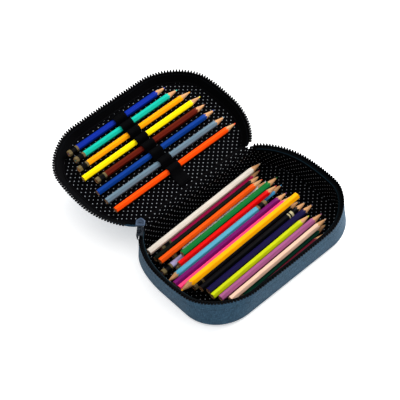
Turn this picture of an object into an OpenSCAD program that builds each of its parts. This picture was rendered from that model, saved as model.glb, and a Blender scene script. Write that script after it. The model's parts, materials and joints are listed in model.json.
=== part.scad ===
// Zip-round pencil case, lying open, filled with coloured pencils.
// Origin: centre of the flat bottom. +X along the case, -Y front, +Y hinge and lid, +Z up.
// The lid is drawn closed, in the tray's own frame, and then turned open about the hinge line.

/* [Tray] */
// Length over the rim, at the middle of the rounded ends
case_len = 220; // [200:1:240]
// Width over the rim, from the hinge line to the front corners
case_w = 149; // [135:1:165]
// Height of the rim, where the two rows of teeth meet
rim_h = 39; // [34:1:44]
// Length of the bottom outline
bottom_len = 218; // [196:1:222]
// Width of the bottom outline
bottom_w = 146; // [130:1:148]
// Radius of the rounded bottom edge
edge_r = 6; // [5.5:0.5:9]
// How far each end of the rim bows outward
end_bow = 12; // [6:1:14]
// How far the front of the rim bows outward
front_bow = 2; // [0:0.5:4]

/* [Lid] */
// Angle between the closed and the open lid
open_angle = 172; // [150:1:174]
// Depth of the lid, from the teeth to its lining
lid_depth = 11; // [10:0.5:14]
// Thickness of the padded lid panel
panel_t = 4.5; // [3.5:0.5:6]
// Width of the sloping edge between the teeth and the panel
slope_w = 9; // [7:0.5:11]

/* [Zip] */
// Distance between two teeth of one row
tooth_pitch = 3.4; // [2.8:0.1:3.6]
// Width of a tooth along the zip
tooth_w = 1.2; // [1:0.1:1.3]
// Depth of a tooth across the tape
tooth_d = 2.4; // [2:0.1:2.8]
// Length of the slider
slider_len = 11; // [9:0.5:12]
// Length of the pull tab
tab_len = 10; // [8:0.5:11]

/* [Pencils] */
// Width of a pencil over its corners
pencil_d = 7.4; // [6.8:0.1:7.4]
// Width of the thick pencil over its corners
thick_d = 8.7; // [8.5:0.1:9.5]
// Angle of the loose pencils to the long side
pencil_yaw = 2; // [0:0.5:3]
// Height of the lower layer's axes
low_z = 10; // [9:0.5:10]
// Height of the upper layer's axes
high_z = 18; // [17.9:0.1:19]
// Height of the thick pencil's axis
thick_z = 26; // [25:0.5:28]
// Width of the elastic band
band_w = 16; // [12:1:20]

/* [Hidden] */
loop_names = ["royal_blue", "turquoise", "amber", "yellow", "brown", "navy", "slate", "vermilion"];
high_names = ["white", "olive", "orange", "green", "red", "sky", "purple", "pink",
    "black", "indigo", "lime", "mauve", "peach"];
low_names = ["magenta", "cream", "lavender", "azure", "charcoal", "fir", "maroon"];

// Corner radii of the outline, along X and Y
front_corner = [48, 46];
rear_corner = [24, 61];
corner_steps = 9;
end_steps = 4;
side_steps = 4;

// Depths below the outer face of the wall at which each layer starts and stops
tape_t = 0.7;
cover_in = [0.9, 2];
foam_in = [2.05, 3.7];
lining_in = [3.75, 4.6];
floor_inset = edge_r + 0.05;

// Heights of the layers' top edges
cover_top = rim_h - 5;
lining_top = rim_h - 3.5;
tape_low = rim_h - 13;
tape_top = rim_h - 1.8;
tooth_h = 2.15;
tooth_low = tape_top + 0.05;
mesh_depth = 0.4;

// Where the hinge line lies
hinge_y = case_w / 2;
hinge_z = rim_h;
hinge_len = case_len - 2 * end_bow - 2 * rear_corner.x;

// The lid's layers, as heights above the rim
panel_low = lid_depth;
lid_lining_t = 0.7;
lid_board_t = 1.15;
lid_foam_t = 1.35;
layer_gap = 0.05;
slope_top = lid_depth - 0.8;

// Unused lengths at the two ends of the zip
tape_start = 3;
tape_end_gap = 24;
teeth_start = 13;
teeth_end_gap = 30;

// The loop pencils: distance from the hinge line, place of the butt end, length and colour
loop_pencils = [
    [128, -76, 142, "#0a2fa8"],
    [116, -76, 150, "#12cbb0"],
    [104, -81, 164, "#ffa400"],
    [91, -85, 172, "#ffe000"],
    [79, -76, 160, "#6b1a0c"],
    [66, -85, 171, "#063a85"],
    [51, -85, 173, "#6f8794"],
    [36, -85, 176, "#ff4a00"]];
// The upper layer: place of the left end, of the axis across the case, length, colour and facing.
// A sixth number is how far a pencil lies above its layer.
high_pencils = [
    [-88, 55.6, 169, "#efe6dc", 1, 2.5],
    [-87, 46.9, 157, "#0d2a12", 1, -3],
    [-87, 39.1, 154, "#f06418", 1],
    [-64, 28.8, 144, "#0e7a2e", 1],
    [-76, 21.1, 147, "#e60a0a", 1],
    [-100, 13.4, 146, "#5fb7d0", -1],
    [-97, 5.7, 168, "#7d1a7e", 1],
    [-97, -2, 169, "#ff5f9f", 1],
    [-82, -18.9, 157, "#101018", 1],
    [-79, -26.8, 157, "#3a2c86", 1],
    [-81, -34.6, 145, "#d3df1e", 1],
    [-77, -42.8, 152, "#b55f9f", 1],
    [-71, -51.1, 144, "#f3cdb8", 1]];
// The thick pencil, which lies on the upper layer
thick_pencil = [-102, -10.4, 173, "#ffcc08", -1];
// The lower layer, partly hidden
low_pencils = [
    [-72, 54.1, 150, "#a0125c", 1, 2.4],
    [-70, 38.8, 142, "#e9e2da", 1],
    [-92, 31, 150, "#a79fc4", 1],
    [-78, 22.5, 158, "#4aa5dc", 1],
    [-84, -9.5, 158, "#16181d", 1, 3],
    [-68, -51.6, 140, "#12553e", 1],
    [-58, -59.4, 120, "#5a0f20", 1]];
tip_len = 15;
lead_d = 2;

// The elastic loops
loop_r = pencil_d / 2 + 0.4;
band_t = 0.65;
band_x = -2;
loop_drop = 4.1;
band_ends = [14, 138];

// The slider
wing_t = 1.2;
slider_half_gap = 1.9;
slider_top = rim_h + 2.2;
pin_r = 0.7;
bail_r = 2.5;
bail_hole_r = 1.5;
pin_z = slider_top + bail_hole_r + 0.2;
arm_y = 2;
link_len = 4.2;
tab_w = 10;
tab_t = 1.6;
tab_tilt = 10;

cloth = "#3f566a";
tape_colour = "#16222d";
black_cloth = "#101114";
tooth_black = "#0a0a0c";
grey_foam = "#6d7074";
metal = "#a9adb3";

// ---- Outline of the case -------------------------------------------------------------

function mix(p, q, t) = p + (q - p) * t;

// Points of a quarter ellipse, without the last one
function arc(c, r, from, to) = [for (i = [0:corner_steps - 1])
    let (t = mix(from, to, i / corner_steps)) [c.x + r.x * cos(t), c.y + r.y * sin(t)]];

// Points of a straight stretch, without the last one
function stretch(p, q, steps) = [for (i = [0:steps - 1]) mix(p, q, i / steps)];

// The right half of a rounded rectangle, from the hinge side round to the middle of the front
function half_outline(a, b, rear, front) = concat(
    arc([a - rear.x, b - rear.y], rear, 90, 0),
    stretch([a, b - rear.y], [a, front.y - b], end_steps),
    arc([a - front.x, front.y - b], front, 0, -90),
    stretch([a - front.x, -b], [0, -b], side_steps));

// Bows the ends and the front outward
function bowed(p, a, b, ends, front) = [
    p.x + ends * (1 - pow(p.y / b, 2)) * p.x / a,
    p.y + (p.y < 0 ? front * (1 - pow(p.x / a, 2)) * p.y / b : 0)];

// The outline at a share k of the way from the bottom to the rim, drawn in by inset.
// It runs clockwise from one end of the hinge to the other.
function outline(k, inset) =
    let (
        a = mix(bottom_len / 2, case_len / 2 - end_bow, k) - inset,
        b = mix(bottom_w, case_w, k) / 2 - inset,
        half = half_outline(a, b, rear_corner - [inset, inset], front_corner - [inset, inset]),
        n = len(half),
        right = [for (p = half) bowed(p, a, b, end_bow * k, front_bow * k)],
        middle = bowed([0, -b], a, b, end_bow * k, front_bow * k)
    )
    concat(right, [middle], [for (i = [n - 1:-1:0]) [-right[i].x, right[i].y]]);

// Share of the way from the bottom to the rim at a height
function wall_share(z) = max(0, (z - edge_r) / (rim_h - edge_r));

// One ring of points on the tray's wall
function wall_ring(inset, z) = [for (p = outline(wall_share(z), inset)) [p.x, p.y, z]];

// One ring of points on the lid's edge, at a height above the rim
function lid_ring(inset, above) = [for (p = outline(1, inset)) [p.x, p.y, rim_h + above]];

// Two triangles for one patch. All patches are split from the low start to the high end, so that
// the faces of neighbouring layers stay parallel.
function patch(a, b, c, d, rising) = rising ? [[a, b, c], [a, c, d]] : [[a, b, d], [b, c, d]];

// A solid ring through a closed section of point rings
module loop_solid(rings) {
    m = len(rings);
    n = len(rings[0]);
    polyhedron(
        points = [for (ring = rings) each ring],
        faces = [for (j = [0:m - 1], i = [0:n - 1])
            let (up = (j + 1) % m, next = (i + 1) % n)
            each patch(j * n + i, j * n + next, up * n + next, up * n + i, rings[up][0].z > rings[j][0].z)],
        convexity = 10);
}

// A solid strip through a closed section of point rows, with an end cap at each end
module strip_solid(rows) {
    m = len(rows);
    n = len(rows[0]);
    polyhedron(
        points = [for (row = rows) each row],
        faces = concat(
            [for (j = [0:m - 1], i = [0:n - 2])
                let (up = (j + 1) % m, a = j * n + i, d = up * n + i)
                each patch(a, a + 1, d + 1, d, rows[up][0].z > rows[j][0].z)],
            [[for (j = [0:m - 1]) j * n]],
            [[for (j = [m - 1:-1:0]) j * n + n - 1]]),
        convexity = 10);
}

// ---- Route of the zip ----------------------------------------------------------------

route = outline(1, tape_t / 2);
route_steps = [for (i = [1:len(route) - 1]) norm(route[i] - route[i - 1])];
route_s = [for (i = 0, s = 0; i < len(route);
    s = s + (i < len(route_steps) ? route_steps[i] : 0), i = i + 1) s];
route_len = max(route_s);
route_xs = [for (i = [0:len(route) - 1]) [route_s[i], route[i].x]];
route_ys = [for (i = [0:len(route) - 1]) [route_s[i], route[i].y]];

function route_at(s) = [lookup(s, route_xs), lookup(s, route_ys)];
function route_angle(s) = let (d = route_at(s + 0.5) - route_at(s - 0.5)) atan2(d.y, d.x);

// The part of a row of points that lies on the zip between two lengths
function zip_part(row, start, stop) = [for (i = [0:len(row) - 1])
    if (route_s[i] >= start && route_s[i] <= stop) row[i]];

// Puts a piece on the zip's route, with X along it and Y pointing out of the case
module on_route(s) {
    p = route_at(s);
    translate([p.x, p.y, 0])
        rotate([0, 0, route_angle(s)])
            children();
}

module teeth(low, first) {
    for (s = [first:tooth_pitch:route_len - teeth_end_gap])
        on_route(s)
            translate([-tooth_w / 2, -tooth_d / 2, low])
                cube([tooth_w, tooth_d, tooth_h]);
}

// ---- Tray ----------------------------------------------------------------------------

// Section of one layer of the wall: down one face from the top, round the bottom edge
function layer_face(depth, top) = concat(
    [for (t = [0:30:90])
        let (r = edge_r - depth) wall_ring(depth + r * (1 - sin(t)), depth + r * (1 - cos(t)))],
    [wall_ring(depth, mix(edge_r, top, 0.5)), wall_ring(depth, top)]);

function reversed(list) = [for (i = [len(list) - 1:-1:0]) list[i]];

module wall_layer(depths, top) {
    loop_solid(concat(layer_face(depths[0], top), reversed(layer_face(depths[1], top))));
}

module floor_layer(low, high) {
    translate([0, 0, low])
        linear_extrude(high - low)
            polygon(outline(0, floor_inset));
}

module base_bottom_panel() {
    color(cloth)
        floor_layer(0, cover_in[1]);
}

module base_wall_cover() {
    color(cloth)
        loop_solid(concat(
            [for (t = [0:30:90])
                wall_ring(edge_r * (1 - sin(t)) + cover_in[0] * t / 90, edge_r * (1 - cos(t)))],
            [wall_ring(cover_in[0], mix(edge_r, cover_top, 0.5)), wall_ring(cover_in[0], cover_top)],
            reversed(layer_face(cover_in[1], cover_top))));
}

module base_floor_board() {
    color(grey_foam)
        floor_layer(foam_in[0], foam_in[1]);
}

module base_wall_foam() {
    color(grey_foam)
        wall_layer(foam_in, cover_top);
}

module base_floor_lining() {
    color(black_cloth)
        floor_layer(lining_in[0], lining_in[1]);
}

module base_wall_lining() {
    color(black_cloth)
        wall_layer(lining_in, cover_top);
}

module base_rim_binding() {
    low = cover_top + layer_gap;
    color(tape_colour)
        loop_solid([
            wall_ring(cover_in[0], low), wall_ring(cover_in[0], lining_top),
            wall_ring(lining_in[1], lining_top), wall_ring(lining_in[1], low)]);
}

module base_zip_tape() {
    stop = route_len - tape_start;
    color(tape_colour)
        strip_solid([
            for (row = [wall_ring(0, tape_low), wall_ring(0, tape_top),
                wall_ring(tape_t, tape_top), wall_ring(tape_t, tape_low)])
                zip_part(row, tape_start, stop)]);
}

module base_zip_teeth() {
    color(tooth_black)
        teeth(tooth_low, teeth_start);
}

module zip_end_stops() {
    stop_len = 2.2;
    for (s = [tape_start - stop_len, route_len - tape_start + stop_len])
        color(tape_colour)
            on_route(s)
                translate([-stop_len / 2, -tape_t / 2, tape_low])
                    cube([stop_len, tape_t + 0.5, tape_top - tape_low + 1]);
}

module hinge_spine_base() {
    top = rim_h - 0.6;
    low_y = mix(bottom_w, case_w, wall_share(tape_low)) / 2;
    top_y = mix(bottom_w, case_w, wall_share(top)) / 2;
    color(cloth)
        across_hinge([
            [low_y, tape_low], [top_y, top],
            [top_y - tape_t, top], [low_y - tape_t, tape_low]]);
}

module hinge_lining_base() {
    low = lining_top + layer_gap;
    color(black_cloth)
        across_hinge([
            [hinge_y - 2.3, low], [hinge_y - 2.3, rim_h - 0.4],
            [hinge_y - 1.45, rim_h - 0.4], [hinge_y - 1.45, low]]);
}

// Extrudes a section, given as Y and Z, along the hinge
module across_hinge(section) {
    rotate([90, 0, 90])
        linear_extrude(hinge_len - 1, center = true)
            polygon(section);
}

// ---- Lid, drawn closed and turned open -----------------------------------------------

module turned_open() {
    translate([0, hinge_y, hinge_z])
        rotate([-open_angle, 0, 0])
            translate([0, -hinge_y, -hinge_z])
                children();
}

module panel_layer(above, thickness) {
    turned_open()
        translate([0, 0, rim_h + above])
            linear_extrude(thickness)
                polygon(outline(1, slope_w + 0.2));
}

module lid_lining() {
    color(black_cloth)
        panel_layer(panel_low, lid_lining_t);
}

module lid_board() {
    color("#b9b39f")
        panel_layer(panel_low + lid_lining_t + layer_gap, lid_board_t);
}

module lid_foam() {
    color(grey_foam)
        panel_layer(panel_low + lid_lining_t + lid_board_t + 2 * layer_gap, lid_foam_t);
}

module lid_top_panel() {
    low = panel_low + lid_lining_t + lid_board_t + lid_foam_t + 3 * layer_gap;
    color(cloth)
        panel_layer(low, panel_low + panel_t - low);
}

module lid_edge_roll() {
    color(cloth)
        turned_open()
            loop_solid([
                lid_ring(slope_w - 2, slope_top + layer_gap),
                lid_ring(slope_w - 2.8, slope_top + 2.4),
                lid_ring(slope_w - 2, panel_low + panel_t - 0.9),
                lid_ring(slope_w + 0.15, panel_low + panel_t),
                lid_ring(slope_w + 0.15, slope_top + layer_gap)]);
}

module lid_rim_binding() {
    color(tape_colour)
        turned_open()
            loop_solid([
                lid_ring(slope_w + 0.2, slope_top + layer_gap),
                lid_ring(slope_w + 0.2, panel_low - layer_gap),
                lid_ring(slope_w + 1.6, panel_low - layer_gap),
                lid_ring(slope_w + 1.6, slope_top + layer_gap)]);
}

module lid_zip_tape() {
    low = tooth_h - mesh_depth + layer_gap;
    stop = route_len - tape_end_gap;
    color(black_cloth)
        turned_open()
            strip_solid([
                for (row = [lid_ring(0.3, low), lid_ring(slope_w - 1.2, slope_top),
                    lid_ring(slope_w - 0.2, slope_top), lid_ring(1.3, low)])
                    zip_part(row, tape_start, stop)]);
}

module lid_zip_teeth() {
    color(tooth_black)
        turned_open()
            teeth(rim_h - mesh_depth, teeth_start + tooth_pitch / 2);
}

module hinge_spine_lid() {
    color(cloth)
        turned_open()
            across_hinge([
                [hinge_y - 0.1, rim_h + 0.4], [hinge_y - slope_w + 1.2, rim_h + slope_top],
                [hinge_y - slope_w + 0.4, rim_h + slope_top], [hinge_y - 0.9, rim_h + 0.4]]);
}

module hinge_lining_lid() {
    color(black_cloth)
        turned_open()
            across_hinge([
                [hinge_y - 1, rim_h + 0.4], [hinge_y - slope_w + 0.3, rim_h + slope_top],
                [hinge_y - slope_w - 0.5, rim_h + slope_top], [hinge_y - 1.8, rim_h + 0.4]]);
}

// ---- Elastic loops -------------------------------------------------------------------

lining_z = rim_h + panel_low - 0.1;
loop_z = lining_z - loop_drop;

// Places its children's XY plane across the band, with X as the distance from the hinge line
module across_band(thickness, middle) {
    turned_open()
        translate([band_x - middle, hinge_y, 0])
            rotate([90, 0, -90])
                translate([0, 0, -thickness / 2])
                    linear_extrude(thickness)
                        children();
}

module loop_shape(r) {
    translate([0, loop_z])
        circle(r, $fn = 32);
    translate([-r, loop_z])
        square([2 * r, lining_z - loop_z]);
}

module elastic_band() {
    color(black_cloth)
        across_band(band_w, 0)
            difference() {
                union() {
                    translate([band_ends[0], lining_z - band_t])
                        square([band_ends[1] - band_ends[0], band_t]);
                    for (p = loop_pencils)
                        translate([p[0], 0])
                            loop_shape(loop_r + band_t);
                }
                for (p = loop_pencils)
                    translate([p[0], 0])
                        loop_shape(loop_r);
                // The lining closes the loops at the back
                translate([0, lining_z])
                    square([band_ends[1] + loop_r, loop_r]);
            }
}

// A row of dense stitches between every two loops and at both ends
module band_bartacks() {
    stitch_t = 0.3;
    stitch_w = 0.8;
    inner = [for (i = [0:len(loop_pencils) - 2]) (loop_pencils[i][0] + loop_pencils[i + 1][0]) / 2];
    for (s = concat([band_ends[0] + 2, band_ends[1] - 2], inner))
        color(tape_colour)
            across_band(band_w - 3, 0)
                translate([s - stitch_w / 2, lining_z - band_t - stitch_t - layer_gap])
                    square([stitch_w, stitch_t]);
}

// ---- Slider and pull -----------------------------------------------------------------

slider_s = route_len - 15;

module slider_body() {
    wing_z = rim_h - 5.5;
    inner_z = lining_top + 1.4;
    bridge_z = slider_top - 1.3;
    inner_y = slider_half_gap + 0.5;
    color(metal)
        on_route(slider_s) {
            translate([-slider_len / 2, slider_half_gap, wing_z])
                cube([slider_len, wing_t, slider_top - wing_z]);
            translate([-slider_len / 2, -inner_y - wing_t, inner_z])
                cube([slider_len, wing_t, slider_top - inner_z]);
            translate([-slider_len / 2, -inner_y - wing_t, bridge_z])
                cube([slider_len, inner_y + slider_half_gap + 2 * wing_t, slider_top - bridge_z]);
            slider_bail(bridge_z);
        }
}

// The arch that holds the pull, cut off inside the slider's bridge
module slider_bail(low) {
    intersection() {
        translate([0, 0, pin_z])
            rotate([90, 0, 0])
                difference() {
                    cylinder(r = bail_r, h = 2, center = true, $fn = 32);
                    cylinder(r = bail_hole_r, h = 3, center = true, $fn = 32);
                }
        translate([-bail_r, -2, low])
            cube([2 * bail_r, 4, 2 * bail_r + 3]);
    }
}

// Places the pull on its pin, lying back towards the hinge
module on_pin() {
    on_route(slider_s)
        translate([0, 0, pin_z])
            rotate([0, -tab_tilt, 0])
                children();
}

module pull_link() {
    color(metal)
        on_pin() {
            for (x = [0, link_len])
                translate([x, 0, 0])
                    rotate([90, 0, 0])
                        cylinder(r = pin_r, h = 2 * arm_y, center = true, $fn = 24);
            for (side = [-1, 1])
                translate([-pin_r, side * arm_y - pin_r, -pin_r])
                    cube([link_len + 2 * pin_r, 2 * pin_r, 2 * pin_r]);
        }
}

module pull_tab() {
    start = link_len + pin_r + layer_gap;
    point = 3.2;
    color("#5f7492")
        on_pin()
            translate([start, 0, -tab_t / 2])
                linear_extrude(tab_t)
                    polygon([
                        [0, -tab_w / 2 + 1], [1, -tab_w / 2], [tab_len - point, -tab_w / 2], [tab_len, 0],
                        [tab_len - point, tab_w / 2], [1, tab_w / 2], [0, tab_w / 2 - 1]]);
}

// ---- Pencils -------------------------------------------------------------------------

// A hexagonal pencil with its butt end at the origin and its point towards +X
module pencil(length, width, colour) {
    color(colour)
        rotate([0, 90, 0])
            rotate([0, 0, 30]) {
                cylinder(d = width, h = length - tip_len, $fn = 6);
                intersection() {
                    cylinder(d = width, h = length, $fn = 6);
                    translate([0, 0, length - tip_len])
                        cylinder(d1 = width, d2 = lead_d / 2, h = tip_len, $fn = 32);
                }
            }
}

module loop_pencil(i) {
    p = loop_pencils[i];
    turned_open()
        translate([p[1], hinge_y - p[0], loop_z])
            pencil(p[2], pencil_d, p[3]);
}

// A loose pencil, turned round to face the other way if facing is -1
module loose_pencil(p, z, width) {
    lift = len(p) > 5 ? p[5] : 0;
    rotate([0, 0, pencil_yaw])
        translate([p[0] + p[2] / 2, p[1], z + lift])
            rotate([0, 0, p[4] > 0 ? 0 : 180])
                translate([-p[2] / 2, 0, 0])
                    pencil(p[2], width, p[3]);
}

// ---- Pieces --------------------------------------------------------------------------

base_bottom_panel();
base_wall_cover();
base_floor_board();
base_wall_foam();
base_floor_lining();
base_wall_lining();
base_rim_binding();
base_zip_tape();
base_zip_teeth();
zip_end_stops();
hinge_spine_base();
hinge_lining_base();
lid_top_panel();
lid_edge_roll();
lid_foam();
lid_board();
lid_lining();
lid_rim_binding();
lid_zip_tape();
lid_zip_teeth();
hinge_spine_lid();
hinge_lining_lid();
elastic_band();
band_bartacks();
slider_body();
pull_link();
pull_tab();
for (i = [0:len(loop_names) - 1])
    loop_pencil(i);
for (i = [0:len(high_names) - 1])
    loose_pencil(high_pencils[i], high_z, pencil_d);
loose_pencil(thick_pencil, thick_z, thick_d);  // pencil_thick_yellow
for (i = [0:len(low_names) - 1])
    loose_pencil(low_pencils[i], low_z, pencil_d);
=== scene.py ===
"""Looks of a zip-round pencil case that lies open, filled with coloured pencils.

Lengths in the mesh code are in millimetres and become metres when a mesh is made.
"""

import json
import math

import bmesh
import bpy
import numpy as np
from mathutils import Matrix, Vector, noise


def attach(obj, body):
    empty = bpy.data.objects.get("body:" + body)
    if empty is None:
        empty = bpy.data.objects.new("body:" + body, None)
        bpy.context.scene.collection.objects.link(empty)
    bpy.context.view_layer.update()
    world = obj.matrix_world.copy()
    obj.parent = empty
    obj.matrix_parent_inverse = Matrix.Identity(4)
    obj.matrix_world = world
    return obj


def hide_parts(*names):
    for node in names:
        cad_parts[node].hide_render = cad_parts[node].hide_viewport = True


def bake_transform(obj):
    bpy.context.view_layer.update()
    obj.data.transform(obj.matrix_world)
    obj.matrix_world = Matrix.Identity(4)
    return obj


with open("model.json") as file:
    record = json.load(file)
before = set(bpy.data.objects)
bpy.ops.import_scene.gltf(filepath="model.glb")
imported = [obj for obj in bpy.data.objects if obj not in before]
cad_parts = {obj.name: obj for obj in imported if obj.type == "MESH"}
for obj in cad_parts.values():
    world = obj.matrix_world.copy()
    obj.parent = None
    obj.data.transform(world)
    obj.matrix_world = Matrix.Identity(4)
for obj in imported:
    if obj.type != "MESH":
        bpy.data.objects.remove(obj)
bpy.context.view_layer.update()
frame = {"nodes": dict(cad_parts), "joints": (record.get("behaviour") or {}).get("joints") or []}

MM = 0.001
UV_CM = 0.1          # UVs are in centimetres of cloth
UV = "cloth_cm"

# ---- Sizes ---------------------------------------------------------------------------

# As in the part's source
CASE_LEN, CASE_W, RIM_H = 220.0, 149.0, 39.0
BOTTOM_LEN, BOTTOM_W, EDGE_R = 218.0, 146.0, 6.0
END_BOW, FRONT_BOW = 12.0, 2.0
FRONT_CORNER, REAR_CORNER = (48.0, 46.0), (24.0, 61.0)
HINGE_Y, HINGE_Z, HINGE_HALF = 74.5, 39.0, 73.8
OPEN = math.radians(172.0)
BAND_X, BAND_ENDS = -2.0, (14.0, 138.0)
LINING_Z, LOOP_DROP = 49.9, 4.1
LOOP_PLACES = [128, 116, 104, 91, 79, 66, 51, 36]

# Depths of the cloth faces below the wall's outer face
COVER_OUT, COVER_BACK = 0.8, 2.0
LINING_BACK, LINING_FACE = 3.8, 4.6
WALL_TOP = 34.0

# How finely curves are split
CORNER_STEPS, END_STEPS, SIDE_STEPS = 26, 18, 26
HINGE_POINTS = 60


def mix(p, q, t):
    return p + (q - p) * t


def outline(k, inset):
    """The case's outline at a share k of the way from the bottom to the rim.

    It runs clockwise from the hinge's right end."""
    a = mix(BOTTOM_LEN / 2, CASE_LEN / 2 - END_BOW, k) - inset
    b = mix(BOTTOM_W, CASE_W, k) / 2 - inset
    rx, ry = REAR_CORNER[0] - inset, REAR_CORNER[1] - inset
    fx, fy = FRONT_CORNER[0] - inset, FRONT_CORNER[1] - inset

    def arc(cx, cy, r1, r2, start, stop):
        t = np.radians(np.linspace(start, stop, CORNER_STEPS, endpoint=False))
        return np.stack([cx + r1 * np.cos(t), cy + r2 * np.sin(t)], 1)

    def stretch(p, q, steps):
        t = np.linspace(0, 1, steps, endpoint=False)[:, None]
        return np.array(p) + (np.array(q) - np.array(p)) * t

    half = np.concatenate([
        arc(a - rx, b - ry, rx, ry, 90, 0),
        stretch((a, b - ry), (a, fy - b), END_STEPS),
        arc(a - fx, fy - b, fx, fy, 0, -90),
        stretch((a - fx, -b), (0, -b), SIDE_STEPS),
        [[0.0, -b]]])
    x, y = half[:, 0], half[:, 1]
    bow_y = np.where(y < 0, FRONT_BOW * k * (1 - (x / a) ** 2) * y / b, 0)
    right = np.stack([x + END_BOW * k * (1 - (y / b) ** 2) * x / a, y + bow_y], 1)
    left = right[-2::-1] * [-1, 1]
    return np.concatenate([right, left])


def ring(k, inset, z):
    p = outline(k, inset)
    return np.column_stack([p, np.full(len(p), float(z))])


def wall_share(z):
    return max(0.0, (z - EDGE_R) / (RIM_H - EDGE_R))


def wall(inset, z):
    return ring(wall_share(z), inset, z)


def rim(inset, above):
    return ring(1, inset, RIM_H + above)


def shrunk(row, share, z):
    """A ring drawn in towards the middle of the case."""
    out = row * [share, share, 1]
    out[:, 2] = z
    return out


def outward(row):
    """Unit vectors that point out of the case, along a ring."""
    t = np.gradient(row[:, :2], axis=0)
    t /= np.linalg.norm(t, axis=1)[:, None]
    return np.column_stack([-t[:, 1], t[:, 0], np.zeros(len(t))])


def opened(points):
    """Turns points of the closed lid open about the hinge line."""
    p = np.asarray(points, float)
    y, z = p[..., 1] - HINGE_Y, p[..., 2] - HINGE_Z
    c, s = math.cos(-OPEN), math.sin(-OPEN)
    return np.stack([p[..., 0], HINGE_Y + y * c - z * s, HINGE_Z + y * s + z * c], -1)


def uneven(row, size, scale, seed):
    """Small unevenness of cloth, one number for each point."""
    return np.array([noise.noise(Vector(p / scale) + Vector((seed, seed * 2.7, 0))) for p in row]) * size


# ---- Meshes --------------------------------------------------------------------------

def make(name, verts, faces, mats, face_mats=None, uvs=None, sharp=38.0):
    """An object from points in mm. uvs holds one pair in mm for each corner of each face."""
    me = bpy.data.meshes.new(name)
    me.from_pydata([tuple(v) for v in np.asarray(verts, float) * MM], [], faces)
    for m in mats:
        me.materials.append(m)
    if face_mats is not None:
        me.polygons.foreach_set("material_index", face_mats)
    if uvs is not None:
        layer = me.uv_layers.new(name=UV)
        layer.data.foreach_set("uv", (np.asarray(uvs, np.float32) * UV_CM).ravel())
    bm = bmesh.new()
    bm.from_mesh(me)
    bmesh.ops.recalc_face_normals(bm, faces=bm.faces)
    for f in bm.faces:
        f.smooth = True
    for e in bm.edges:
        e.smooth = len(e.link_faces) == 2 and e.calc_face_angle(0) < math.radians(sharp)
    bm.to_mesh(me)
    bm.free()
    obj = bpy.data.objects.new(name, me)
    bpy.context.scene.collection.objects.link(obj)
    return obj


def loft(name, rows, mats, round_u=True, round_v=False, band_mats=None, flat=(), turn=None, sharp=38.0):
    """A closed skin through rows of points.

    round_u joins each row's ends, round_v joins the last row to the first.
    Bands in flat take their UVs from X and Y. turn moves the finished points."""
    rows = [np.asarray(r, float) for r in rows]
    m, n = len(rows), len(rows[0])
    points = np.concatenate(rows)
    mid = rows[len(rows) // 2]
    du = np.linalg.norm(np.diff(mid, axis=0, append=mid[:1]), axis=1)
    u = np.concatenate([[0], np.cumsum(du)])
    cols = [r[n // 3] for r in rows] + [rows[0][n // 3]]
    v = np.concatenate([[0], np.cumsum([np.linalg.norm(q - p) for p, q in zip(cols, cols[1:])])])
    faces, face_mats, uvs = [], [], []
    for j in range(m if round_v else m - 1):
        up = (j + 1) % m
        for i in range(n if round_u else n - 1):
            nxt = (i + 1) % n
            f = (j * n + i, j * n + nxt, up * n + nxt, up * n + i)
            faces.append(f)
            face_mats.append(band_mats[j] if band_mats else 0)
            if j in flat:
                uvs += [points[c][:2] for c in f]
            else:
                uvs += [(u[i], v[j]), (u[i + 1], v[j]), (u[i + 1], v[j + 1]), (u[i], v[j + 1])]
    caps = []
    if round_u and not round_v:
        caps = [tuple(range(n)), tuple(range((m - 1) * n, m * n))]
    elif not round_u:
        caps = [tuple(j * n for j in range(m)), tuple(j * n + n - 1 for j in range(m))]
    for c in caps:
        faces.append(c)
        face_mats.append(band_mats[0] if band_mats else 0)
        uvs += [points[q][:2] for q in c]
    return make(name, turn(points) if turn else points, faces, mats, face_mats, uvs, sharp)


def place(obj, body, slot, *nodes):
    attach(obj, body)
    if nodes:
        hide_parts(*nodes)
    return obj


# ---- Materials -----------------------------------------------------------------------

def rgb(code):
    """The linear colour of a #rrggbb code."""
    c = [int(code[i:i + 2], 16) / 255 for i in (1, 3, 5)]
    return tuple(x / 12.92 if x <= 0.04045 else ((x + 0.055) / 1.055) ** 2.4 for x in c) + (1.0,)


def shade(colour, factor):
    return tuple(min(1.0, x * factor) for x in colour[:3]) + (1.0,)


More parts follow.
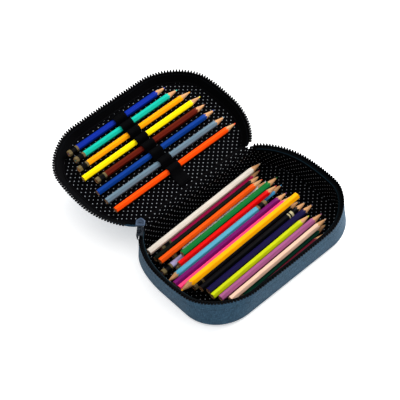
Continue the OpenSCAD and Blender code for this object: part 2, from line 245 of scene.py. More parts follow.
class Material:
    """A Principled material with short ways to add nodes."""

    def __init__(self, name, **values):
        self.mat = bpy.data.materials.new(name)
        self.mat.use_nodes = True
        self.tree = self.mat.node_tree
        self.bsdf = self.tree.nodes["Principled BSDF"]
        for key, value in values.items():
            self.bsdf.inputs[key.replace("_", " ")].default_value = value

    def node(self, kind, *inputs, out=0, **settings):
        """Adds a node; inputs go into its sockets in order, and None leaves one as it is."""
        nd = self.tree.nodes.new("ShaderNode" + kind)
        for key, value in settings.items():
            setattr(nd, key, value)
        for socket, value in zip(nd.inputs, inputs):
            if isinstance(value, bpy.types.NodeSocket):
                self.tree.links.new(value, socket)
            elif value is not None:
                socket.default_value = value
        return nd.outputs[out]

    def math(self, operation, a, b=0.0):
        return self.node("Math", a, b, operation=operation)

    def cloth(self):
        return self.node("UVMap", uv_map=UV)

    def solid(self):
        return self.node("TexCoord", out=3)

    def scaled(self, vector, scale):
        return self.node("Mapping", vector, (0, 0, 0), (0, 0, 0), scale)

    def grain(self, vector, scale, detail=2.0, rough=0.5):
        return self.node("TexNoise", vector, None, scale, detail, rough)

    def ramp(self, value, *stops):
        """A colour ramp through (place, colour) stops."""
        nd = self.tree.nodes.new("ShaderNodeValToRGB")
        self.tree.links.new(value, nd.inputs[0])
        marks = nd.color_ramp.elements
        while len(marks) < len(stops):
            marks.new(1.0)
        for mark, (at, colour) in zip(marks, stops):
            mark.position = at
            mark.color = colour
        return nd.outputs[0]

    def blend(self, factor, a, b):
        nd = self.tree.nodes.new("ShaderNodeMix")
        nd.data_type = "RGBA"
        for socket, value in zip((nd.inputs[0], nd.inputs[6], nd.inputs[7]), (factor, a, b)):
            if isinstance(value, bpy.types.NodeSocket):
                self.tree.links.new(value, socket)
            else:
                socket.default_value = value
        return nd.outputs[2]

    def weave(self, uv, pitch_u, pitch_v):
        """Height of a plain weave; the pitches are in cm."""
        parts = self.tree.nodes.new("ShaderNodeSeparateXYZ")
        self.tree.links.new(uv, parts.inputs[0])
        a = self.math("SINE", self.math("MULTIPLY", parts.outputs[0], 2 * math.pi / pitch_u))
        b = self.math("SINE", self.math("MULTIPLY", parts.outputs[1], 2 * math.pi / pitch_v))
        return self.math("MULTIPLY", a, b)

    def ribs(self, uv, pitch, axis=0):
        parts = self.tree.nodes.new("ShaderNodeSeparateXYZ")
        self.tree.links.new(uv, parts.inputs[0])
        return self.math("SINE", self.math("MULTIPLY", parts.outputs[axis], 2 * math.pi / pitch))

    def colour(self, socket):
        self.tree.links.new(socket, self.bsdf.inputs["Base Color"])

    def rough(self, value, low, high):
        nd = self.node("MapRange", value, 0.0, 1.0, low, high)
        self.tree.links.new(nd, self.bsdf.inputs["Roughness"])

    def bump(self, height, strength, depth):
        nd = self.node("Bump", strength, depth, None, height)
        self.tree.links.new(nd, self.bsdf.inputs["Normal"])


def melange(name, dark, base, light):
    m = Material(name, Roughness=0.86, Sheen_Weight=0.06, Sheen_Roughness=0.4, Specular_IOR_Level=0.12)
    uv = m.cloth()
    warp = m.grain(m.scaled(uv, (1.6, 15, 1)), 1.0, 3.0, 0.6)
    weft = m.grain(m.scaled(uv, (15, 1.6, 1)), 1.0, 3.0, 0.6)
    heather = m.math("MULTIPLY", m.math("ADD", warp, weft), 0.5)
    yarn = m.ramp(heather, (0.36, dark), (0.5, base), (0.64, light))
    patch = m.grain(uv, 0.35, 2.0)
    m.colour(m.blend(0.35, yarn, m.ramp(patch, (0.3, shade(base, 0.82)), (0.7, shade(base, 1.15)))))
    m.rough(heather, 0.92, 0.74)
    m.bump(m.math("ADD", m.weave(uv, 0.085, 0.085), heather), 0.35, 0.00012)
    return m.mat


def ribbed(name, base, pitch, depth, axis=0, contrast=0.18):
    """Narrow woven tape; axis 0 has its ribs across the tape, and axis 1 along it."""
    m = Material(name, Roughness=0.82, Specular_IOR_Level=0.02)
    uv = m.cloth()
    rib = m.math("MULTIPLY_ADD", m.ribs(uv, pitch, axis), 0.5)
    fuzz = m.grain(uv, 22.0, 2.0)
    lines = m.ramp(m.math("MULTIPLY", m.math("ADD", rib, fuzz), 0.6),
                   (0.0, shade(base, 1 - contrast)), (1.0, shade(base, 1 + contrast)))
    m.colour(m.blend(m.math("MULTIPLY", m.grain(uv, 0.8), 0.4), lines, base))
    m.rough(fuzz, 0.9, 0.7)
    m.bump(m.math("ADD", rib, m.math("MULTIPLY", fuzz, 0.5)), 0.5, depth)
    return m.mat


def dotted(name, ground, dot, cell, radius):
    """Dark cloth with a staggered lattice of light printed dots. cell and radius are in cm."""
    m = Material(name, Roughness=0.82, Specular_IOR_Level=0.015)
    uv = m.cloth()
    marks = []
    for shift in ((0.0, 0.0), (0.5, 0.5)):
        p = m.node("Mapping", uv, (shift[0] + 100, shift[1] + 100, 0), (0, 0, 0),
                   (1 / cell[0], 1 / cell[1], 0))
        q = m.node("VectorMath", p, operation="FRACTION")
        c = m.node("VectorMath", q, (0.5, 0.5, 0), operation="SUBTRACT")
        d = m.node("VectorMath", c, (cell[0], cell[1], 0), operation="MULTIPLY")
        marks.append(m.node("VectorMath", d, operation="LENGTH", out=1))
    near = m.math("MINIMUM", *marks)
    dots = m.node("MapRange", near, radius * 1.12, radius * 0.82, 0.0, 1.0)
    fuzz = m.grain(uv, 25.0, 2.0)
    cloth = m.ramp(fuzz, (0.3, shade(ground, 0.6)), (0.7, shade(ground, 1.6)))
    ink = m.ramp(m.grain(uv, 30.0), (0.2, shade(dot, 0.75)), (0.7, dot))
    m.colour(m.blend(dots, cloth, ink))
    m.rough(dots, 0.88, 0.5)
    height = m.math("ADD", m.math("MULTIPLY", m.weave(uv, 0.07, 0.07), 0.3), dots)
    m.bump(height, 0.45, 0.00012)
    return m.mat


def plastic(name, base, rough, scale, depth, **values):
    m = Material(name, Roughness=rough, **values)
    at = m.solid()
    speck = m.grain(at, scale, 3.0)
    m.colour(m.ramp(speck, (0.3, shade(base, 0.82)), (0.7, shade(base, 1.15))))
    m.rough(speck, rough - 0.08, rough + 0.1)
    m.bump(speck, 0.4, depth)
    return m.mat


def lacquer(name, base):
    """Painted wood: thick glossy paint over a slightly uneven hexagon."""
    m = Material(name, Coat_Weight=0.02, Coat_Roughness=0.2, Specular_IOR_Level=0.06)
    uv = m.cloth()
    slow = m.grain(m.scaled(uv, (0.6, 3.0, 1)), 1.0, 3.0)
    m.colour(m.ramp(slow, (0.3, shade(base, 0.86)), (0.6, base), (0.8, shade(base, 1.08))))
    m.rough(slow, 0.42, 0.3)
    m.bump(m.grain(m.scaled(uv, (2, 9, 1)), 2.0, 3.0), 0.25, 0.00006)
    return m.mat


def bare_wood(name, dark, light):
    m = Material(name, Roughness=0.75, Specular_IOR_Level=0.12)
    uv = m.cloth()
    fibre = m.grain(m.scaled(uv, (1.5, 16.0, 1)), 1.0, 4.0, 0.6)
    m.colour(m.ramp(fibre, (0.34, dark), (0.6, light)))
    m.bump(fibre, 0.4, 0.00008)
    return m.mat


def lead_core(name, base):
    m = Material(name, Roughness=0.55, Specular_IOR_Level=0.4)
    speck = m.grain(m.solid(), 900.0, 3.0)
    m.colour(m.ramp(speck, (0.3, shade(base, 0.75)), (0.7, shade(base, 1.1))))
    m.bump(speck, 0.4, 0.00005)
    return m.mat


BLUES = (rgb("#132634"), rgb("#264256"), rgb("#436880"))
OUTER = melange("outer_melange", *BLUES)
TAPE_OUT = melange("tape_outer", *BLUES)
TAPE_IN = ribbed("tape_inner", rgb("#0a1218"), 0.12, 0.0001)
TAPE_LID = ribbed("tape_lid", rgb("#020203"), 0.12, 0.0001, contrast=0.3)
BINDING = ribbed("binding_grosgrain", rgb("#040608"), 0.1, 0.00012)
BINDING_EDGE = ribbed("binding_edge", rgb("#14262f"), 0.1, 0.00012)
BINDING_LID = ribbed("binding_lid", rgb("#030304"), 0.1, 0.00012)
PIPING = ribbed("seam_piping", rgb("#06080b"), 0.08, 0.0001)
LINING = dotted("lining_dots", rgb("#020203"), rgb("#8b9094"), (0.74, 0.66), 0.058)
ELASTIC = ribbed("elastic_woven", rgb("#020203"), 0.09, 0.00015, axis=1, contrast=0.35)
THREAD_BLUE = ribbed("thread_blue", rgb("#1c3240"), 0.05, 0.00006)
THREAD_BLACK = ribbed("thread_black", rgb("#050607"), 0.05, 0.00006)
TEETH = plastic("teeth_plastic", rgb("#020203"), 0.6, 700.0, 0.00005, Specular_IOR_Level=0.03)
METAL = plastic("slider_metal_cast", rgb("#131c26"), 0.45, 500.0, 0.00004,
                Metallic=0.2, Specular_IOR_Level=0.2)
RUBBER = plastic("pull_rubber_moulded", rgb("#2f3d50"), 0.55, 900.0, 0.00006, Specular_IOR_Level=0.15)
# Painted highlight: the tab's bevelled rim gets a lighter copy of the same rubber, standing for light that
# catches the bevel
RUBBER_RIM_HIGHLIGHT = plastic("pull_rubber_rim_painted_highlight", rgb("#3b4b61"), 0.5, 900.0, 0.00005, Specular_IOR_Level=0.2)
FOAM = plastic("foam_grey", rgb("#6d7074"), 0.9, 1500.0, 0.0001)
BOARD = plastic("board_kraft", rgb("#b9b39f"), 0.85, 600.0, 0.00006)
WOOD = bare_wood("pencil_wood", rgb("#99683d"), rgb("#c59568"))
DIP = lacquer("dip_black", rgb("#040405"))
RING = lacquer("ring_tan", rgb("#685a3c"))
CREAM = lacquer("ring_cream", rgb("#b9ae86"))

# ---- Tray ----------------------------------------------------------------------------

ARC = [math.radians(t) for t in range(0, 91, 15)]


def edge(depth, outside=False):
    """Rings of the rounded bottom edge of one layer."""
    if outside:
        return [wall(EDGE_R * (1 - math.sin(t)) + COVER_OUT * math.degrees(t) / 90,
                     EDGE_R * (1 - math.cos(t)))
                for t in ARC]
    r = EDGE_R - depth
    return [wall(depth + r * (1 - math.sin(t)), depth + r * (1 - math.cos(t))) for t in ARC]


def swelled(row, size, seed, scale=34.0):
    """A wall ring with the small unevenness of padded cloth."""
    return row + outward(row) * (size + uneven(row, 0.28, scale, seed))[:, None]


SHARES = [0.12, 0.3, 0.5, 0.7, 0.86, 0.96]

outer = edge(0, True)
bottom = [shrunk(outer[0], f, 0.0) for f in SHARES]
sides = [swelled(wall(COVER_OUT, z), 0.35 * math.sin(math.pi * (z - 8) / 27), 1.0)
         for z in (11, 14, 17, 20, 23, 26, 29, 32)]
top = [wall(0.85, 33.5), wall(1.1, WALL_TOP), wall(1.7, WALL_TOP), wall(COVER_BACK, 33.6)]
inner = [wall(COVER_BACK, 21)] + edge(COVER_BACK)[::-1]
inner_floor = [shrunk(inner[-1], f, COVER_BACK) for f in SHARES[::-1]]
rows = bottom + outer + sides + top + inner + inner_floor
tray_shell = loft("tray_shell", rows, [OUTER],
                  flat=set(range(len(bottom))) | set(range(len(rows) - len(SHARES) - 1, len(rows))))
place(tray_shell, "tray", "outer_fabric", "base_bottom_panel", "base_wall_cover")

face = edge(LINING_FACE)
sides = [swelled(wall(LINING_FACE, z), -0.12, 4.0, 26.0) for z in (11, 15, 19, 23, 27, 31)]
back = [wall(LINING_BACK, WALL_TOP), wall(LINING_BACK, 20)] + edge(LINING_BACK)[::-1]
rows = face + sides + [wall(LINING_FACE, WALL_TOP)] + back
wall_lining = loft("tray_wall_lining", rows, [LINING], round_v=True)
place(wall_lining, "tray", "lining", "base_wall_lining")

seam = edge(LINING_FACE)[0]
floor_rows = []
for f in SHARES + [1.0]:
    r = shrunk(seam, f, 4.62)
    r[:, 2] += uneven(r, 0.22, 30.0, 7.0)
    floor_rows.append(r)
under = [shrunk(seam, f, 3.78) for f in [1.0] + SHARES[::-1]]
floor_lining = loft("tray_floor_lining", floor_rows + under, [LINING], flat=set(range(40)))
place(floor_lining, "tray", "lining", "base_floor_lining")

SECTION = [(0.85, 34.1), (0.8, 34.9), (1.2, 35.6), (2.2, 36.0), (3.4, 36.05), (4.6, 35.6), (5.2, 34.7),
           (5.4, 33.2), (5.35, 31.6), (5.1, 30.4), (4.7, 30.3), (4.65, 34.05)]
rim_binding = loft("tray_rim_roll", [wall(i, z) for i, z in SECTION], [BINDING, BINDING_EDGE, LINING],
                   round_v=True, band_mats=[0] * 5 + [1] + [0] * 6, sharp=60)
# Along the hinge the lining covers the binding
hinge_side = max(v.co.y for v in rim_binding.data.vertices) - 6.5 * MM
for face in rim_binding.data.polygons:
    if face.center.y > hinge_side:
        face.material_index = 2
place(rim_binding, "tray", "binding", "base_rim_binding")


def route_tools(row):
    """Length along a ring, and functions that look up a place and the tangent on it."""
    s = np.concatenate([[0], np.cumsum(np.linalg.norm(np.diff(row, axis=0), axis=1))])

    def at(d):
        return np.array([np.interp(d, s, row[:, i]) for i in range(3)])

    def along(d):
        t = at(d + 0.4) - at(d - 0.4)
        return t / np.linalg.norm(t)
    return s[-1], at, along, s


def stretch_of(row, start, stop):
    """The part of a ring between two lengths from its start, with its exact ends."""
    total, at, _, s = route_tools(row)
    stop = total - stop
    keep = (s > start + 0.3) & (s < stop - 0.3)
    return np.concatenate([[at(start)], row[keep], [at(stop)]])


def strip(name, section, mats, start, stop, body, slot, *nodes, band_mats=None, lid=False):
    """A band of tape round the case; section holds (inset, height) pairs."""
    make_row = rim if lid else wall
    base = route_tools(make_row(0.4, section[0][1]))[3]
    pick = (base > start) & (base < base[-1] - stop)
    obj = loft(name, [make_row(i, z)[pick] for i, z in section], mats, round_u=False, round_v=True,
               band_mats=band_mats, turn=opened if lid else None, sharp=50)
    return place(obj, body, slot, *nodes)


SECTION = [(0.02, 25.9), (-0.12, 26.6), (-0.15, 28.5), (-0.2, 31), (-0.12, 33.5), (0.0, 35.6), (0.08, 37.2),
           (0.5, 37.4), (0.78, 37.1), (0.8, 35.4), (0.78, 33), (0.78, 26.0)]
strip("tray_zip_tape", SECTION, [TAPE_OUT, TAPE_IN], 2, 2, "tray", "zip_tape", "base_zip_tape",
      band_mats=[0] * 6 + [1] * 6)

# ---- Teeth and stitches --------------------------------------------------------------

# (height, half width, half depth) of a tooth's rings, and the corners of a ring
TOOTH = [(0.0, 0.8, 0.95), (0.15, 1.1, 1.15), (0.9, 1.02, 1.12), (1.5, 0.85, 1.0), (2.2, 0.68, 0.92),
         (2.75, 0.52, 0.75), (2.95, 0.34, 0.5)]
TOOTH_RING = ((1, .55), (.6, 1), (-.6, 1), (-1, .55), (-1, -.55), (-.6, -1), (.6, -1), (1, -.55))
TOOTH_PITCH = 3.4


def teeth(name, route, start, stop, offset, tilt, size, body, node, lid):
    """A row of moulded teeth; tilt leans them out of the case, and size stretches them along and up."""
    total, at, along, _ = route_tools(route)
    verts, faces = [], []
    sign = -1 if lid else 1
    c, s = math.cos(tilt), math.sin(tilt)
    for d in np.arange(start + offset, total - stop, TOOTH_PITCH):
        p, t = at(d), along(d)
        out = np.array([-t[1], t[0], 0])
        up = np.array([0, 0, sign]) * c + out * s
        side = out * c - np.array([0, 0, sign]) * s
        first = len(verts)
        for h, w, dpt in TOOTH:
            for a, b in TOOTH_RING:
                verts.append(p + t * a * w * size[0] + side * b * dpt + up * h * size[1])
        for j in range(len(TOOTH) - 1):
            for i in range(8):
                q = first + 8 * j
                faces.append((q + i, q + (i + 1) % 8, q + 8 + (i + 1) % 8, q + 8 + i))
        faces.append(tuple(range(first, first + 8)))
        faces.append(tuple(range(len(verts) - 8, len(verts))))
    verts = np.array(verts)
    obj = make(name, opened(verts) if lid else verts, faces, [TEETH], sharp=50)
    return place(obj, body, "zip_teeth", node)


teeth("tray_teeth", wall(0.4, 36.5), 9, 21, 0.0, math.radians(8), (1.25, 1.15), "tray",
      "base_zip_teeth", False)
teeth("lid_teeth", rim(0.4, 2.45), 9, 21, TOOTH_PITCH / 2, math.radians(54), (1.25, 1.0), "lid",
      "lid_zip_teeth", True)


def stitches(name, paths, normals, mat, body, slot, *nodes, pitch=2.6, length=2.1, r=0.2):
    """Rows of thread stitches, each a small rounded bead pressed into the cloth."""
    verts, faces = [], []
    ring_n = 6
    for path, normal in zip(paths, normals):
        total, at, along, _ = route_tools(path)
        for k in range(int((total - 1) / pitch)):
            d = 0.5 + pitch * (k + 0.5)
            p, t = at(d), along(d)
            n = normal(p, t)
            b = np.cross(t, n)
            first = len(verts)
            for x, w, h in ((-.5, .35, -.5), (-.34, .9, .2), (0, 1, .45), (.34, .9, .2), (.5, .35, -.5)):
                for q in range(ring_n):
                    a = 2 * math.pi * q / ring_n
                    verts.append(p + t * x * length + n * r * (h + w * math.sin(a)) + b * r * w * math.cos(a))
            for j in range(4):
                for i in range(ring_n):
                    q = first + ring_n * j
                    faces.append((q + i, q + (i + 1) % ring_n, q + ring_n + (i + 1) % ring_n, q + ring_n + i))
            faces.append(tuple(range(first, first + ring_n)))
            faces.append(tuple(range(len(verts) - ring_n, len(verts))))
    uvs = [(verts[i][0] * 3, verts[i][2] * 3) for f in faces for i in f]
    obj = make(name, verts, faces, [mat], uvs=uvs)
    return place(obj, body, slot, *nodes)


def out_of_case(p, t):
    return np.array([-t[1], t[0], 0])


def into_case(p, t):
    return np.array([t[1], -t[0], 0])


stitches("tray_seam_stitches", [stretch_of(wall(-0.12, 27.3), 3, 3)], [out_of_case], THREAD_BLUE,
         "tray", "thread")
stitches("tray_binding_stitches", [wall(5.35, 31.3)], [into_case], THREAD_BLACK, "tray", "thread")

# ---- Lid -----------------------------------------------------------------------------

# (inset, height above the rim) round the padded edge
ROLL = [(9.15, 10.3), (8.0, 10.25), (7.0, 10.4), (6.35, 11.2), (6.15, 12.4), (6.3, 13.6), (6.9, 14.6),
        (7.8, 15.3), (9.2, 15.75), (11.0, 15.95)]
roll = []
for i, z in ROLL:
    r = rim(i, z)
    roll.append(r + outward(r) * uneven(r, 0.22, 30.0, 11.0)[:, None])
panel = []
for f in SHARES[::-1]:
    r = shrunk(roll[-1], f, 0)
    r[:, 2] = RIM_H + 15.95 + 1.1 * (1 - f ** 2) ** 0.6 + uneven(r, 0.3, 38.0, 13.0)
    panel.append(r)
seat = rim(9.15, 14.4)
inside = [shrunk(seat, f, RIM_H + 14.4) for f in SHARES] + [seat]
rows = inside + roll + panel
lid_cover = loft("lid_cover", rows, [OUTER], turn=opened,
                 flat=set(range(len(inside) - 1)) | set(range(len(rows) - len(panel) - 1, len(rows))))
place(lid_cover, "lid", "outer_fabric", "lid_top_panel", "lid_edge_roll")

seat = rim(9.3, 11.0)
front = []
for f in SHARES + [1.0]:
    r = shrunk(seat, f, RIM_H + 11.0)
    r[:, 2] += uneven(r, 0.25, 34.0, 17.0)
    front.append(r)
back = [shrunk(seat, f, RIM_H + 11.65) for f in [1.0] + SHARES[::-1]]
lid_lining = loft("lid_lining_cloth", front + back, [LINING], flat=set(range(40)), turn=opened)
place(lid_lining, "lid", "lining", "lid_lining")

SECTION = [(8.6, 10.3), (8.9, 9.95), (9.6, 9.9), (10.4, 10.15), (10.8, 10.6), (10.7, 10.95), (9.2, 10.98)]
lid_binding = loft("lid_binding_roll", [rim(i, z) for i, z in SECTION], [BINDING_LID], round_v=True,
                   turn=opened, sharp=60)
place(lid_binding, "lid", "binding", "lid_rim_binding")

SECTION = [(0.5, 2.0), (2.3, 4.4), (4.4, 6.7), (6.4, 8.8), (7.9, 10.3),
           (8.9, 10.1), (7.4, 8.35), (5.4, 6.15), (3.4, 3.85), (1.35, 1.85), (0.9, 1.6)]
strip("lid_tape", SECTION, [TAPE_LID], 2, 20, "lid", "lid_tape", "lid_zip_tape", lid=True)
tail = [(5.0, 7.4), (6.4, 8.8), (7.9, 10.3), (8.9, 10.1), (7.4, 8.35), (5.9, 6.75), (5.3, 6.9)]
length = route_tools(rim(0.4, 5.0))[0]
strip("lid_tape_tail", tail, [TAPE_LID], length - 22, 0.2, "lid", "lid_tape", lid=True)
SECTION = [(3.15, 3.75), (3.35, 3.45), (3.75, 3.6), (3.85, 4.0), (3.6, 4.35)]
strip("lid_tape_piping", SECTION, [PIPING], 4, 22, "lid", "thread", lid=True)

# ---- Hinge ---------------------------------------------------------------------------


def across(name, section, mat, slot, *nodes):
    """A strip of cloth along the hinge; section holds (y, z) pairs of its two faces, open pose."""
    xs = np.linspace(-HINGE_HALF, HINGE_HALF, HINGE_POINTS)
    rows = [np.column_stack([xs, np.full(HINGE_POINTS, y), np.full(HINGE_POINTS, z)]) for y, z in section]
    obj = loft(name, rows, [mat], round_u=False, round_v=True, sharp=60)
    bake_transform(obj)
    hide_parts(*nodes)
    return obj


def from_closed(pairs):
    """(y, z) pairs of the closed lid, turned open."""
    p = opened([(0, HINGE_Y - a, HINGE_Z + b) for a, b in pairs])
    return [(q[1], q[2]) for q in p]


def wall_y(depth, z):
    return mix(BOTTOM_W, CASE_W, wall_share(z)) / 2 - depth


outside = [(wall_y(-0.1, z), z) for z in (26.0, 28, 30, 32, 34, 36, 37.5, 38.3)]
outside += from_closed([(0.1, 0.5), (0.9, 1.6), (2.4, 3.4), (4.4, 5.8), (6.4, 8.2), (8.0, 10.3)])
inside = from_closed([(8.9, 10.2), (7.2, 8.0), (5.2, 5.6), (3.2, 3.2), (1.7, 1.5), (1.0, 0.5)])
inside += [(wall_y(0.75, z), z) for z in (38.3, 37.5, 36, 34, 32, 30, 28, 26.0)]
across("hinge_spine", outside + inside, OUTER, "outer_fabric", "hinge_spine_base", "hinge_spine_lid")

low = [(wall_y(1.3, 35.7), 35.7), (wall_y(1.35, 37), 37.0), (wall_y(1.3, 38), 38.2)]
far = from_closed([(1.5, 0.5), (2.1, 1.5), (3.6, 3.2), (5.6, 5.6), (7.6, 8.0), (9.2, 10.1)])
near = from_closed([(10.2, 10.1), (8.6, 8.0), (6.6, 5.6), (4.6, 3.2), (3.0, 1.5), (2.3, 0.3)])
down = [(wall_y(2.3, 38), 38.2), (wall_y(2.5, 37), 37.0), (wall_y(2.6, 35.7), 35.7)]
hinge_lining = across("hinge_lining", low + far + near + down, LINING, "lining", "hinge_lining_base",
                      "hinge_lining_lid")
# The bands on the lid's side are plain
hinge_lining.data.materials.append(BINDING_LID)
band_faces = HINGE_POINTS - 1
for face in hinge_lining.data.polygons[band_faces * 8:band_faces * 13]:
    face.material_index = 1

# ---- Elastic band --------------------------------------------------------------------


def band_path(gap):
    """(distance from the hinge, height over the lining) along the band's face, gap over the pencils."""
    r = 3.7 + gap
    places = LOOP_PLACES[::-1]
    mids = [(a + b) / 2 for a, b in zip(places, places[1:])]
    stops = [places[0] - 8.0] + mids + [places[-1] + 8.0]
    path = [(BAND_ENDS[0], gap), (stops[0] - 3.0, gap)]
    for c, (left, right) in zip(places, zip(stops, stops[1:])):
        ends = []
        for side, stop in ((-1, left), (1, right)):
            dx, dy = (stop - c), (gap - LOOP_DROP)
            dist = math.hypot(dx, dy)
            lean = math.acos(min(1.0, r / dist))
            ends.append(math.atan2(dy, dx) + side * lean)
        a0, a1 = ends[0] % (2 * math.pi), ends[1]
        if a0 < a1:
            a0 += 2 * math.pi
        path.append((left, gap))
        path += [(c + r * math.cos(a), LOOP_DROP + r * math.sin(a)) for a in np.linspace(a0, a1, 12)]
    path += [(stops[-1], gap), (stops[-1] + 3.0, gap), (BAND_ENDS[1], gap)]
    return path


def band_row(x, points):
    return [(x, HINGE_Y - s, LINING_Z - h) for s, h in points]


top_path, low_path = band_path(1.05), band_path(0.35)
rows = []
for x, lift in ((-8, 0.0), (-7.6, 0.1), (-4, 0.0), (0, 0.0), (4, 0.0), (7.6, 0.1), (8, 0.0)):
    rows.append(band_row(BAND_X + x, [(s, h + lift) for s, h in top_path]))
for x in (8, 4, 0, -4, -8):
    rows.append(band_row(BAND_X + x, low_path))
band = loft("elastic_band_cloth", rows, [ELASTIC], round_u=False, round_v=True, turn=opened, sharp=60)
place(band, "lid", "elastic", "elastic_band")

tacks = []
places = LOOP_PLACES[::-1]
for s in [BAND_ENDS[0] + 2, BAND_ENDS[1] - 2] + [(a + b) / 2 for a, b in zip(places, places[1:])]:
    for k in range(14):
        x = BAND_X - 6.5 + k
        tacks.append(opened([(x - 0.15, HINGE_Y - s - 1.0, LINING_Z - 1.1),
                             (x + 0.15, HINGE_Y - s + 1.0, LINING_Z - 1.1)]))
lid_up = (opened([(0, 0, 0)]) - opened([(0, 0, 1)]))[0]
stitches("band_tacks", tacks, [lambda p, t: lid_up] * len(tacks), THREAD_BLACK, "lid", "thread",
         "band_bartacks", pitch=0.9, length=1.9, r=0.25)

# ---- Slider and pull -----------------------------------------------------------------


def refined(node, name, mat, width, body, slot):
    """A copy of a CAD piece with merged corners and rounded edges."""
    bm = bmesh.new()
    bm.from_mesh(frame["nodes"][node].data)
    bmesh.ops.remove_doubles(bm, verts=bm.verts, dist=0.00002)
    bmesh.ops.dissolve_limit(bm, angle_limit=math.radians(1.0), verts=bm.verts, edges=bm.edges)
    edges = [e for e in bm.edges if len(e.link_faces) == 2 and e.calc_face_angle(0) > math.radians(35)]
    bmesh.ops.bevel(bm, geom=edges, offset=width * MM, segments=2, affect="EDGES", profile=0.6,
                    clamp_overlap=True)
    bmesh.ops.recalc_face_normals(bm, faces=bm.faces)
    for f in bm.faces:
        f.smooth = True
    for e in bm.edges:
        e.smooth = len(e.link_faces) == 2 and e.calc_face_angle(0) < math.radians(40)
    me = bpy.data.meshes.new(name)
    bm.to_mesh(me)
    bm.free()
    me.materials.clear()
    me.materials.append(mat)
    obj = bpy.data.objects.new(name, me)
    bpy.context.scene.collection.objects.link(obj)
    return place(obj, body, slot, node)


refined("slider_body", "slider_casting", METAL, 0.28, "slider", "slider_metal")
refined("pull_link", "pull_wire", METAL, 0.2, "pull", "slider_metal")
refined("zip_end_stops", "tape_end_folds", TAPE_IN, 0.3, "tray", "zip_tape")

pull = next(j for j in frame["joints"] if j["name"] == "pull_hinge")
pin = np.array(pull["pos_m"]) / MM
cross = -np.array(pull["axis"])
forward = np.array([cross[1], -cross[0], 0.0])
tilt = math.radians(10)
run = forward * math.cos(tilt) + np.array([0, 0, math.sin(tilt)])
normal = np.cross(run, cross)


def tab_ring(inset, height):
    """A ring of the pointed tab's outline, drawn in by inset."""
    start, length, half, point = 4.95 + inset, 10.0 - 2 * inset, 5.0 - inset, 3.2
    shape = [(0, -half + 1), (0.3, -half + 0.3), (1, -half), (length - point, -half),
             (length - point * 0.4, -half * 0.45), (length, 0), (length - point * 0.4, half * 0.45),
             (length - point, half), (1, half), (0.3, half - 0.3), (0, half - 1)]
    return np.array([pin + run * (start + x) + cross * y + normal * height for x, y in shape])


TAB_RINGS = ((0.25, -0.75), (0.0, -0.5), (0.0, 0.45), (0.3, 0.85), (1.0, 0.9), (1.35, 0.6), (3.2, 0.62))
rows = [tab_ring(inset, height) for inset, height in TAB_RINGS]
# Bands 2 to 4, the bevelled rim, take the lighter rubber as a painted highlight on the bevel
tab = loft("pull_tab_moulded", rows, [RUBBER, RUBBER_RIM_HIGHLIGHT], band_mats=[0, 0, 1, 1, 1, 0], sharp=50)
place(tab, "pull", "pull_rubber", "pull_tab")

# ---- Pencils -------------------------------------------------------------------------

# Angles across each of the six faces, and the radius there as a share of the corner radius
ON_FACE = (-27, -14, 0, 14, 27)
FACE_ANGLES = np.radians([f * 60 + a for f in range(6) for a in ON_FACE])
HEX = np.array([1 / math.cos(math.radians(a)) for _ in range(6) for a in ON_FACE]) * math.cos(math.pi / 6)
TIP = 15.0
PAINT, BARE, CORE, BLACK, TAN, PALE = range(6)


def ends_of(node):
    """(butt, tip) middle points of a pencil's CAD solid, in mm."""
    co = np.unique(np.round(np.array([v.co for v in frame["nodes"][node].data.vertices]) / MM, 2), axis=0)
    mean = co.mean(0)
    d = np.linalg.svd(co - mean)[2][0]
    t = (co - mean) @ d
    groups = [co[t < t.min() + 0.2], co[t > t.max() - 0.2]]
    spread = [np.linalg.norm(g - g.mean(0), axis=1).max() for g in groups]
    a, b = [g.mean(0) for g in groups]
    return (b, a) if spread[0] < spread[1] else (a, b)


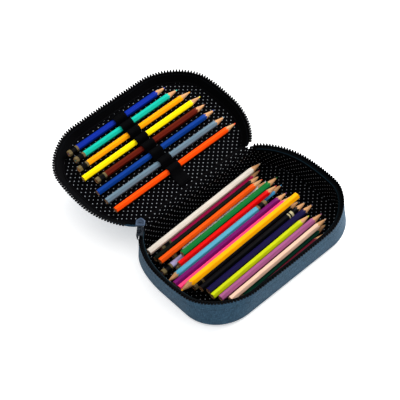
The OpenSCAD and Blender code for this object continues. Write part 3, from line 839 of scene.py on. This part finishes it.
def pencil(node, body, slot, colour, width=7.4, roll=0.0, bands=(), lead=2.4, blunt=0.35):
    """A hexagonal pencil with a scalloped paint edge, a wooden cone and a coloured core.
    bands holds (start, stop, material), from the butt, or from the tip if negative."""
    butt, tip = ends_of(node)
    length = np.linalg.norm(tip - butt)
    x_dir = (tip - butt) / length
    y_dir = np.cross([0, 0, 1.0], x_dir)
    y_dir /= np.linalg.norm(y_dir)
    z_dir = np.cross(x_dir, y_dir)
    rad = width / 2
    rho = rad * HEX
    r0 = 0.5

    def cone(x):
        return r0 + (rad - r0) * (length - x) / TIP

    brim = length - TIP * (rho - r0) / (rad - r0)
    core = 0.22 * width
    one = np.ones(len(rho))
    marks = sorted([(s if s >= 0 else length + s, e if e > 0 else length + e, m) for s, e, m in bands])
    first = marks[0][2] if marks and marks[0][0] <= 0.5 else PAINT
    # (place along the pencil, radius, material up to the next step)
    steps = [(0.25 * one, 0.6 * core * one, CORE), (0.2 * one, core * one, BARE),
             (0.02 * one, (core + 0.1) * one, BARE), (0 * one, rho * 0.93, first), (0.35 * one, rho, first)]
    for s, e, m in marks:
        if s > 0.5:
            steps.append((s * one, rho, m))
        steps.append((e * one, rho, PAINT))
    steps.append(((length - TIP - 4) * one, rho, PAINT))
    steps.append((brim - 0.12, rho, PAINT))
    lead_x = length - lead
    steps.append((brim + 0.1, np.minimum(rho, cone(brim + 0.1)) - 0.05, BARE))
    for f in (0.3, 0.65):
        x = mix(brim, lead_x, f)
        steps.append((x, cone(x), BARE))
    steps.append((lead_x * one, cone(lead_x) * one, CORE))
    steps.append(((lead_x + 0.15) * one, (cone(lead_x) - 0.12) * one, CORE))
    steps.append(((length - 1.2) * one, mix(cone(length - 1.2) - 0.1, blunt + 0.3, 0.3) * one, CORE))
    steps.append(((length - 0.25) * one, blunt * one, CORE))
    steps.append((length * one, 0.45 * blunt * one, CORE))
    angles = FACE_ANGLES + math.radians(roll)
    n = len(angles)
    verts, faces, mats, uvs = [], [], [], []
    for x, r, _ in steps:
        r = np.maximum(r, 0.05)
        ys, zs = r * np.cos(angles), r * np.sin(angles)
        verts += list(butt + np.outer(x, x_dir) + np.outer(ys, y_dir) + np.outer(zs, z_dir))
    for j, (x, r, m) in enumerate(steps[:-1]):
        x2 = steps[j + 1][0]
        for i in range(n):
            k = (i + 1) % n
            faces.append((j * n + i, j * n + k, (j + 1) * n + k, (j + 1) * n + i))
            mats.append(m)
            u, w = rad * FACE_ANGLES[i], rad * (FACE_ANGLES[i] + math.radians(13))
            uvs += [(x[i], u), (x[k], w), (x2[k], w), (x2[i], u)]
    for ring_ids in (tuple(range(n)), tuple(range((len(steps) - 1) * n, len(steps) * n))):
        faces.append(ring_ids)
        mats.append(CORE)
        uvs += [(0, verts[q][1]) for q in ring_ids]
    tone = rgb(colour)
    paint = lacquer(slot, tone)
    core_mat = lead_core("lead_" + slot, shade(tone, 0.9))
    obj = make(node + "_finish", verts, faces, [paint, WOOD, core_mat, DIP, RING, CREAM], mats, uvs, sharp=30)
    return place(obj, body, slot, node)


# Bands are (start, end, material), and a negative place counts back from the tip
DIPPED = [(0, 4.2, TAN), (4.2, 10.6, BLACK), (10.6, 13.2, TAN)]
# (name, colour, roll in degrees, bands)
LOOPS = [("royal_blue", "#082790", 8, DIPPED), ("turquoise", "#0fb19b", 22, DIPPED),
         ("amber", "#f29a00", 30, DIPPED), ("yellow", "#ffe000", 26, ()),
         ("brown", "#581204", 12, DIPPED), ("navy", "#043380", 34, ()),
         ("slate", "#5f7583", 18, ()), ("vermilion", "#ff4a00", 28, ())]
for name, colour, roll, bands in LOOPS:
    pencil("loop_pencil_" + name, "loop_" + name, "paint_loop_" + name, colour, roll=roll, bands=bands)

LOOSE = [("white", "#cfc6ba", 10, ()), ("olive", "#060c05", 30, ()), ("orange", "#da4c07", 24, ()),
         ("green", "#0a6a2c", 6, ()), ("red", "#c80202", 33, ()), ("sky", "#4b97b0", 14, DIPPED),
         ("purple", "#690a5a", 28, ()), ("pink", "#f03c70", 20, ()),
         ("black", "#050508", 30, [(-24, -21, PALE), (-27.5, -26, PALE)]),
         ("indigo", "#130f3a", 4, ()), ("lime", "#b3bd0c", 26, ()), ("mauve", "#94507a", 15, ()),
         ("peach", "#dcb59c", 31, ())]
for name, colour, roll, bands in LOOSE:
    pencil("pencil_" + name, "loose_" + name, "paint_" + name, colour, roll=roll, bands=bands)
pencil("pencil_thick_yellow", "loose_thick_yellow", "paint_thick_yellow", "#f7a400", width=8.7, roll=30,
       lead=3.0, blunt=0.8)

UNDER = [("magenta", "#b0104e", 12), ("cream", "#f2eeea", 29), ("lavender", "#a79fc4", 5),
         ("azure", "#4aa5dc", 22), ("charcoal", "#0b0c10", 30), ("fir", "#0d4230", 17),
         ("maroon", "#5a0f20", 25)]
for name, colour, roll in UNDER:
    pencil("under_pencil_" + name, "lower_layer", "paint_under_" + name, colour, roll=roll, bands=DIPPED)

# ---- CAD pieces that stay inside the walls -------------------------------------------

STIFFENING = (("base_floor_board", BOARD), ("base_wall_foam", FOAM), ("lid_foam", FOAM), ("lid_board", BOARD))
for node, mat in STIFFENING:
    for used in frame["nodes"][node].material_slots:
        used.material = mat

# ---- Floor, light and camera ---------------------------------------------------------


def floor_paper():
    m = Material("floor_paper", Roughness=0.95, Specular_IOR_Level=0.0, Emission_Strength=0.45)
    m.colour(m.ramp(m.grain(m.solid(), 300.0), (0.3, rgb("#f4f4f4")), (0.7, rgb("#f7f7f7"))))
    return m.mat


FAR = 4000
floor = make("floor", [(-FAR, -FAR, 0), (FAR, -FAR, 0), (FAR, FAR, 0), (-FAR, FAR, 0)], [(0, 1, 2, 3)],
             [floor_paper()])
floor.location.z = -0.0002

world = bpy.data.worlds.new("studio")
world.use_nodes = True
world.node_tree.nodes["Background"].inputs[0].default_value = (1, 1, 1, 1)
world.node_tree.nodes["Background"].inputs[1].default_value = 0.5
bpy.context.scene.world = world


def softbox(name, place_at, target, size, watts):
    data = bpy.data.lights.new(name, "AREA")
    data.shape = "RECTANGLE"
    data.size, data.size_y = size
    data.energy = watts
    obj = bpy.data.objects.new(name, data)
    obj.location = place_at
    obj.rotation_euler = (Vector(target) - Vector(place_at)).to_track_quat("-Z", "Y").to_euler()
    bpy.context.scene.collection.objects.link(obj)


MIDDLE = (0, 0.07, 0.03)
softbox("key", (2.0, 0.2, 1.1), MIDDLE, (2.0, 2.0), 130)
softbox("top", (-0.3, 0.2, 2.4), MIDDLE, (2.6, 2.6), 24)
bpy.context.scene.view_settings.view_transform = "Standard"

AZ, EL, ROLL_DEG, DIST = math.radians(-35.27), math.radians(49.7), math.radians(-8.26), 1.4525
TARGET = Vector((-0.0032, 0.0676, 0.020))
back_dir = Vector((math.sin(AZ) * math.cos(EL), -math.cos(AZ) * math.cos(EL), math.sin(EL)))
right = (-back_dir).cross(Vector((0, 0, 1))).normalized()
up = right.cross(-back_dir)
right2 = right * math.cos(ROLL_DEG) + up * math.sin(ROLL_DEG)
up2 = up * math.cos(ROLL_DEG) - right * math.sin(ROLL_DEG)
cam_data = bpy.data.cameras.new("camera")
cam_data.sensor_width = 36
cam_data.lens = 119.56
cam_data.clip_start = 0.05
cam = bpy.data.objects.new("camera", cam_data)
turn = Matrix((right2, up2, back_dir)).transposed().to_4x4()
cam.matrix_world = Matrix.Translation(TARGET + back_dir * DIST) @ turn
bpy.context.scene.collection.objects.link(cam)
bpy.context.scene.camera = cam
